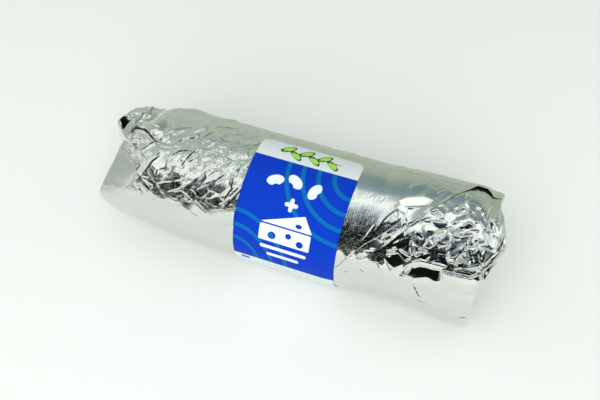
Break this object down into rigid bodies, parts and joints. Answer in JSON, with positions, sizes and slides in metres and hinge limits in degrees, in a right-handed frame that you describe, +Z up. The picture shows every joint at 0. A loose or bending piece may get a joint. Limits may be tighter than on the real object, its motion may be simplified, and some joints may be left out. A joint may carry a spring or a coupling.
{
  "type": "foil-wrapped tortilla roll",
  "caption": "Shut aluminium-foil wrap round a filled tortilla roll, with folded ends, a loose foil flap and a paper sticker round the middle.",
  "frame": {"origin": "on the surface that the roll lies on, under the middle of its bounding box", "axes": "+X along the roll towards the gathered end, -Y to the front where the sticker's field faces, +Z up"},
  "size_m": [0.1526, 0.0508, 0.0492],
  "materials": {
    "foil": "bright crumpled kitchen foil",
    "label_paper": "satin printed paper"
  },
  "bodies": {
    "root": {"foil_wrap": "foil", "label": "label_paper"}
  },
  "joints": []
}
